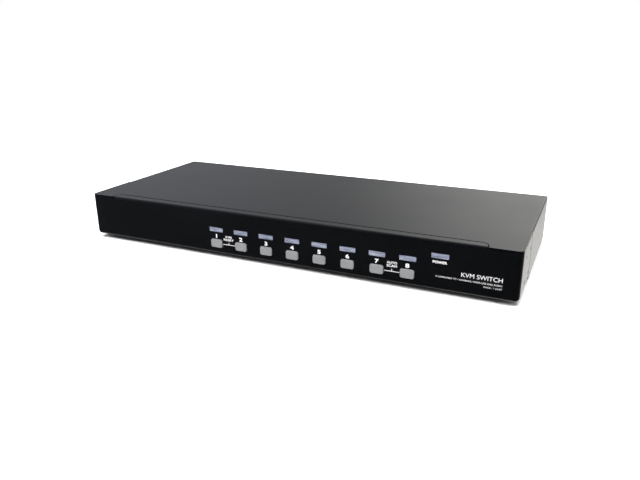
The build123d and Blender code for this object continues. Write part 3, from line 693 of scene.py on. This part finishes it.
@dataclass
class Lights:
    """Light windows and the small lamps behind them."""

    def build(self) -> None:
        """Dresses the windows and lamps."""
        names = [f"status_window_{i}" for i in PORT_NUMBERS] + ["power_window"]
        dress(names, LightPipe().make())
        dress(("indicator_leds",), MouldedPlastic("led_package", (0.80, 0.77, 0.62), 0.05, 0.2).make())
        LOG.info("lights: %d windows dressed", len(names))


@dataclass
class FrontPrint:
    """Numbers, words and lines printed in white on the front wall."""

    number_height: float = 3.9 * MM
    number_weight: float = 0.035
    number_stretch: float = 1.40
    number_rise: float = 17.9 * MM
    word_height: float = 2.2 * MM
    word_weight: float = 0.02
    upper_rise: float = 18.4 * MM
    lower_rise: float = 15.5 * MM
    line_width: float = 0.5 * MM
    line_drop: float = 0.1 * MM
    line_gap: float = 0.7 * MM
    corner_share: float = 0.13
    tick: float = 2.2 * MM
    power_word: Lettering = Lettering("POWER", 2.3 * MM, weight=0.03, width=12.2 * MM)
    power_rise: float = 25.2 * MM
    product_lines: tuple[tuple[Lettering, float], ...] = (
        (Lettering("KVM SWITCH", 3.7 * MM, width=33.0 * MM), 17.4 * MM),
        (Lettering("8 COMPUTERS TO 1 CONSOLE, VIDEO, USB AND AUDIO", 1.6 * MM, width=54.0 * MM), 12.6 * MM),
        (Lettering("RACK, 1 UNIT", 1.5 * MM, width=14.5 * MM), 9.6 * MM),
    )
    right_margin: float = 14.0 * MM
    film: float = INK_FILM

    def build(self) -> None:
        """Prints everything."""
        self.ink = ScreenInk("legend_ink").make()
        low, high = node_box("chassis_tray")
        self.wall_y = low.y
        self.base_z = low.z
        self.right_x = high.x - self.right_margin
        self._numbers()
        self._pair_legend("console_reset", ("KVM", 6.7 * MM), ("RESET", 11.2 * MM), 1)
        self._pair_legend("auto_scan", ("AUTO", 9.2 * MM), ("SCAN", 9.2 * MM), PORTS - 1)
        self._power_word()
        self._product_words()

    def _print(self, name: str, meshes: Sequence[bpy.types.Mesh]) -> None:
        """Adds a printed piece made of one or more meshes."""
        place_piece(name, joined(meshes, name), self.ink)

    def _at(self, x: float, rise: float) -> Vector:
        """A point on the front wall, at a height above the case's floor."""
        return Vector((x, self.wall_y, self.base_z + rise))

    def _numbers(self) -> None:
        """Prints each button's number above it."""
        for number in PORT_NUMBERS:
            x = node_centre(f"button_cap_{number}").x
            text = Lettering(str(number), self.number_height, self.number_weight, self.number_stretch)
            self._print(f"port_number_{number}", [text.mesh(self._at(x, self.number_rise), Facing.FRONT)])

    def _pair_legend(self, name: str, upper: tuple[str, float], lower: tuple[str, float], first: int) -> None:
        """Prints two words between two buttons, and under them a line from button to button with a tick.

        Args:
            name: The piece's name, without its ending.
            upper: The upper word and its width.
            lower: The lower word and its width.
            first: The left button's number.
        """
        left_low, left_high = node_box(f"button_cap_{first}")
        right_low, right_high = node_box(f"button_cap_{first + 1}")
        x = (left_low.x + right_high.x) / 2
        meshes = []
        for (text, width), rise in ((upper, self.upper_rise), (lower, self.lower_rise)):
            word = Lettering(text, self.word_height, self.word_weight, width=width)
            meshes.append(word.mesh(self._at(x, rise), Facing.FRONT))
        shoulder = (left_high.z - left_low.z) * self.corner_share
        half = self.line_width / 2
        line_z = (left_low.z + left_high.z) / 2 - self.line_drop
        start, end = left_high.x - shoulder + self.line_gap, right_low.x + shoulder - self.line_gap
        outer_y = self.wall_y - self.film
        bm = bmesh.new()
        slab(bm, (start, outer_y, line_z - half), (end, self.wall_y, line_z + half))
        slab(bm, (x - half, outer_y, line_z + half), (x + half, self.wall_y, line_z + self.tick))
        meshes.append(mesh_of(bm, "lines"))
        self._print(f"{name}_print", meshes)

    def _power_word(self) -> None:
        """Prints the word under the power window."""
        centre = self._at(node_centre("power_window").x, self.power_rise)
        self._print("power_print", [self.power_word.mesh(centre, Facing.FRONT)])

    def _product_words(self) -> None:
        """Prints what the box is, in plain words, in three lines that end in line at the right."""
        meshes = []
        for line, rise in self.product_lines:
            meshes.append(line.mesh(self._at(self.right_x - line.width / 2, rise), Facing.FRONT))
        self._print("product_print", meshes)


@dataclass
class RearPanel:
    """Sockets in the rear wall, their contacts and their printed words."""

    word_height: float = 2.2 * MM
    word_weight: float = 0.02
    word_rise: float = 21.6 * MM
    contact_width: float = 1.0 * MM
    contact_film: float = 0.12 * MM
    contact_run: float = 6.0 * MM
    tongue_recess: float = 1.2 * MM
    square_tongue: float = 3.2 * MM
    square_steps: tuple[float, ...] = (-1.25 * MM, 1.25 * MM)
    flat_tongue: float = 1.9 * MM
    flat_tongue_rise: float = 0.9 * MM
    flat_steps: tuple[float, ...] = (-3.5 * MM, -1.0 * MM, 1.0 * MM, 3.5 * MM)
    ring_inner: float = 1.8 * MM
    ring_outer: float = 2.3 * MM
    ring_sides: int = 40

    def build(self) -> None:
        """Dresses the sockets and adds their contacts and words."""
        video = [f"computer_video_socket_{i}" for i in PORT_NUMBERS] + ["console_video_socket"]
        usb = [f"computer_usb_socket_{i}" for i in PORT_NUMBERS] + ["console_usb_sockets"]
        dress(video + usb, PlatedSteel("socket_metal").make())
        blue = MouldedPlastic("insert_plastic", (0.012, 0.045, 0.21), 0.08, 0.4)
        dress(("video_socket_inserts",), blue.make())
        black = MouldedPlastic("jack_plastic", (0.014, 0.014, 0.015), 0.15, 0.4)
        dress(("audio_jacks", "power_jack", "board_connectors"), black.make())
        dress(("socket_jackscrews",), PlatedSteel("zinc_plate", (0.55, 0.55, 0.54), 0.25).make())
        self.gold = PlatedSteel("contact_metal", (0.78, 0.53, 0.20), 0.20, (1.0, 1.0, 0.06)).make()
        self._usb_contacts()
        self._jack_rings()
        self._words()

    def _strip(self, bm: bmesh.types.BMesh, x: float, y: float, z: float, side: int) -> None:
        """Adds one contact on a tongue.

        Args:
            bm: The mesh that it goes to.
            x: The contact's middle.
            y: The tongue's tip.
            z: The tongue's face.
            side: 1 on its upper face, -1 on its lower face.
        """
        half = self.contact_width / 2
        levels = sorted((z, z + side * self.contact_film))
        slab(bm, (x - half, y - self.contact_run, levels[0]), (x + half, y - self.contact_film, levels[1]))

    def _usb_contacts(self) -> None:
        """Lays spring contacts on the tongues: two above and two below if square, four in a row if flat."""
        for number in PORT_NUMBERS:
            low, high = node_box(f"computer_usb_socket_{number}")
            middle = (low + high) / 2
            bm = bmesh.new()
            for side in (-1, 1):
                face_z = middle.z + side * self.square_tongue / 2
                for step in self.square_steps:
                    self._strip(bm, middle.x + step, high.y - self.tongue_recess, face_z, side)
            contacts = mesh_of(bm, "contacts")
            place_piece(f"computer_usb_contacts_{number}", contacts, self.gold)
        bm = bmesh.new()
        for low, high in solids_of("console_usb_sockets"):
            middle = (low + high) / 2
            face_z = middle.z + self.flat_tongue_rise - self.flat_tongue / 2
            for step in self.flat_steps:
                self._strip(bm, middle.x + step, high.y - self.tongue_recess, face_z, -1)
        place_piece("console_usb_contacts", mesh_of(bm, "contacts"), self.gold)

    def _jack_rings(self) -> None:
        """Lays a thin metal ring round the mouth of each sound jack."""
        bm = bmesh.new()
        for low, high in solids_of("audio_jacks"):
            centre = Vector(((low.x + high.x) / 2, high.y, (low.z + high.z) / 2))
            self._ring(bm, centre)
        place_piece("audio_jack_rings", mesh_of(bm, "rings"), self.gold)

    def _ring(self, bm: bmesh.types.BMesh, centre: Vector) -> None:
        """Adds a flat ring that faces the rear.

        Args:
            bm: The mesh that it goes to.
            centre: Its middle, on the face that it lies on.
        """
        steps = self.ring_sides
        rounds = []
        for radius, lift in (
            (self.ring_inner, 0.0), (self.ring_outer, 0.0),
            (self.ring_outer, self.contact_film), (self.ring_inner, self.contact_film),
        ):
            points = []
            for step in range(steps):
                turn = math.tau * step / steps
                offset = Vector((radius * math.cos(turn), lift, radius * math.sin(turn)))
                points.append(bm.verts.new(centre + offset))
            rounds.append(points)
        for first, second in zip(rounds, rounds[1:] + rounds[:1]):
            for step in range(steps):
                after = (step + 1) % steps
                bm.faces.new((first[step], first[after], second[after], second[step]))

    def _words(self) -> None:
        """Prints the computers' numbers and the console's and the power inlet's words on the rear wall."""
        ink = ScreenInk("rear_ink").make()
        low, high = node_box("chassis_tray")
        words = [(f"computer_word_{i}", f"PC {i}", f"computer_video_socket_{i}") for i in PORT_NUMBERS]
        words.append(("console_word", "CONSOLE", "console_video_socket"))
        words.append(("power_inlet_word", "DC IN", "power_jack"))
        for name, text, socket in words:
            centre = Vector((node_centre(socket).x, high.y, low.z + self.word_rise))
            mesh = Lettering(text, self.word_height, self.word_weight).mesh(centre, Facing.REAR)
            place_piece(name, joined([mesh], "word"), ink)


@dataclass
class Electronics:
    """Boards, chips and fixings inside the case."""

    leg_pitch: float = 1.27 * MM
    leg_width: float = 0.42 * MM
    leg_reach: float = 1.0 * MM
    leg_film: float = 0.15 * MM

    def build(self) -> None:
        """Dresses the inner pieces."""
        dress(("main_board", "video_board", "front_board"), CircuitBoard().make())
        dress(("integrated_circuits",), MouldedPlastic("chip_epoxy", (0.018, 0.018, 0.019), 0.2, 0.5).make())
        dress(("board_spacers", "board_screws"), PlatedSteel("spacer_plate", (0.60, 0.57, 0.50), 0.28).make())
        self._chip_legs()
        LOG.info("electronics dressed")

    def _chip_legs(self) -> None:
        """Adds the bent legs along two sides of each chip, from its middle height down to the board."""
        tin = PlatedSteel("solder_tin", (0.58, 0.58, 0.57), 0.30).make()
        bm = bmesh.new()
        for low, high in solids_of("integrated_circuits"):
            count = int((high.x - low.x - self.leg_pitch) / self.leg_pitch)
            start = (low.x + high.x - (count - 1) * self.leg_pitch) / 2
            knee = (low.z + high.z) / 2
            for x in (start + index * self.leg_pitch for index in range(count)):
                for face, way in ((low.y, -1), (high.y, 1)):
                    self._leg(bm, x, face, way, low.z, knee)
        place_piece("chip_legs", mesh_of(bm, "legs"), tin)

    def _leg(self, bm: bmesh.types.BMesh, x: float, face: float, way: int, foot: float, knee: float) -> None:
        """Adds one leg: out of the chip's side, down, and out along the board.

        Args:
            bm: The mesh that it goes to.
            x: The leg's middle.
            face: The chip's side.
            way: 1 for a leg that points to +Y, -1 for one that points to -Y.
            foot: The board's top.
            knee: The height where it leaves the chip.
        """
        half, film, reach = self.leg_width / 2, self.leg_film, self.leg_reach
        outline = (
            (0.0, knee), (reach / 2, knee), (reach / 2, foot + film), (reach, foot + film),
            (reach, foot), (reach / 2 - film, foot), (reach / 2 - film, knee - film), (0.0, knee - film),
        )
        sides = []
        for edge in (x - half, x + half):
            sides.append([bm.verts.new((edge, face + way * out, z)) for out, z in outline])
        bm.faces.new(sides[0])
        bm.faces.new(sides[1])
        for index in range(len(outline)):
            after = (index + 1) % len(outline)
            bm.faces.new((sides[0][index], sides[0][after], sides[1][after], sides[1][index]))


# --------------------------------------------------------------------------------------------------
# Studio


@dataclass
class Viewpoint:
    """The camera: its direction from the object, its distance and its lens."""

    azimuth: float = 25.09
    elevation: float = 19.43
    roll: float = -0.51
    distance: float = 641.4 * MM
    aim: Point = (7.3 * MM, -8.6 * MM, 1.4 * MM)
    lens: float = 34.30
    sensor: float = 36.0
    nearest: float = 10 * MM

    def build(self) -> None:
        """Creates the camera and makes it the scene's."""
        camera = bpy.data.cameras.new("camera")
        camera.lens = self.lens
        camera.sensor_width = self.sensor
        camera.clip_start = self.nearest
        holder = bpy.data.objects.new("camera", camera)
        bpy.context.scene.collection.objects.link(holder)
        a, e = math.radians(self.azimuth), math.radians(self.elevation)
        back = Vector((math.sin(a) * math.cos(e), -math.cos(a) * math.cos(e), math.sin(e)))
        turn = back.to_track_quat("Z", "Y").to_matrix().to_4x4()
        roll = Matrix.Rotation(math.radians(self.roll), 4, "Z")
        holder.matrix_world = Matrix.Translation(Vector(self.aim) + back * self.distance) @ turn @ roll
        bpy.context.scene.camera = holder
        LOG.info("camera at %s", tuple(round(c, 4) for c in holder.matrix_world.translation))


@dataclass
class Studio:
    """White paper floor, one wide light overhead, a weaker one in front, and a white room around them.

    Shiny surfaces see the room unevenly, as they do between a bright wall behind, a bank of lights
    overhead on the left and dark space in front.
    """

    floor_reach: float = 1.7
    key_place: Point = (-0.05, -0.25, 1.5)
    key_size: float = 1.9
    key_power: float = 60.0
    fill_place: Point = (-0.45, -1.3, 1.5)
    fill_size: float = 1.0
    fill_power: float = 5.0
    room_light: float = 1.0
    front_light: float = 0.06

    def build(self) -> None:
        """Lays the floor, hangs the lights and sets the room."""
        bpy.context.scene.view_settings.view_transform = "Standard"
        self._floor()
        self._light("overhead", self.key_place, self.key_size, self.key_power)
        self._light("front_fill", self.fill_place, self.fill_size, self.fill_power)
        self._room()

    def _floor(self) -> None:
        """Lays a wide sheet of paper."""
        bm = bmesh.new()
        bmesh.ops.create_grid(bm, size=self.floor_reach)
        mesh = mesh_of(bm, "floor")
        mesh.materials.append(FloorPaper().make())
        floor = bpy.data.objects.new("floor", mesh)
        bpy.context.scene.collection.objects.link(floor)
        floor.visible_glossy = False

    def _light(self, name: str, place: Point, size: float, power: float) -> None:
        """Hangs a soft square light that looks at the object.

        Args:
            name: The light's name.
            place: Where it hangs.
            size: The length of its side.
            power: Its power in watts.
        """
        light = bpy.data.lights.new(name, "AREA")
        light.size = size
        light.energy = power
        holder = bpy.data.objects.new(name, light)
        bpy.context.scene.collection.objects.link(holder)
        turn = Vector(place).to_track_quat("Z", "Y").to_matrix().to_4x4()
        holder.matrix_world = Matrix.Translation(place) @ turn
        holder.visible_glossy = False

    def _room(self) -> None:
        """Sets the room: plain white to the eye, softer light from the front, and uneven reflections."""
        world = bpy.data.worlds.new("room")
        bpy.context.scene.world = world
        world.use_nodes = True
        graph = Graph(world.node_tree)
        graph.tree.nodes.clear()
        way = graph.node("TexCoord", output="Generated")
        x, y, z = graph.split(way)
        left, front, down = 0.0 - x, 0.0 - y, 0.0 - z

        # Matt surfaces are lit by all of the room but its lower front, which is dark.
        shaded = front.between(-0.1, 0.5) * (1.0 - z.between(0.45, 0.75))
        lit = self.room_light - shaded * (self.room_light - self.front_light)
        white = (1.0, 1.0, 1.0)
        lighting = graph.node("Background", inputs={"Color": white, "Strength": lit})

        # Shiny surfaces see the wall behind, brightest in the middle, with haze low on its left, the floor
        # behind on the right, a bank of lights overhead and a faint glow on the left.
        level = (x * x + y * y).of_self("SQRT")
        sideways = x / level
        bright = sideways.between(-0.42, -0.02) * (1.0 - sideways.between(0.03, 0.22) * 0.9)
        haze = left.between(0.35, 0.6) * (1.0 - z.between(0.22, 0.38))
        wall = (0.42 + bright * 2.0 + haze * 0.22) * y.between(-0.2, 0.4)
        floor = y.between(0.6, 0.9) * down.between(0.12, 0.32) * x.between(-0.15, 0.2) * 2.1
        bank = z.between(0.50, 0.85) * left.between(0.05, 0.35) * 0.6
        glow = left.between(-0.2, 1.0) * 0.26
        tint = graph.mix(x.between(-0.7, -0.1), (0.96, 0.995, 1.06), (1.0, 0.992, 0.960))
        seen = graph.node("Background", inputs={"Color": tint, "Strength": wall + floor + bank + glow})

        # The eye sees plain white.
        plain = graph.node("Background", inputs={"Color": white, "Strength": 1.0})
        path = graph.node("LightPath", output="Is Camera Ray")
        glossy = Wire(graph.tree, path.socket.node.outputs["Is Glossy Ray"])
        uneven = graph.node("MixShader", inputs={0: glossy, 1: lighting, 2: seen})
        shown = graph.node("MixShader", inputs={0: path, 1: uneven, 2: plain})
        graph.node("OutputWorld", inputs={"Surface": shown}, output=None)


def main() -> None:
    """Builds everything in order."""
    logging.basicConfig(level=logging.INFO, format="%(message)s")
    Viewpoint().build()
    Studio().build()
    Case().build()
    Buttons().build()
    Lights().build()
    FrontPrint().build()
    RearPanel().build()
    Electronics().build()


if __name__ == "__main__":
    main()
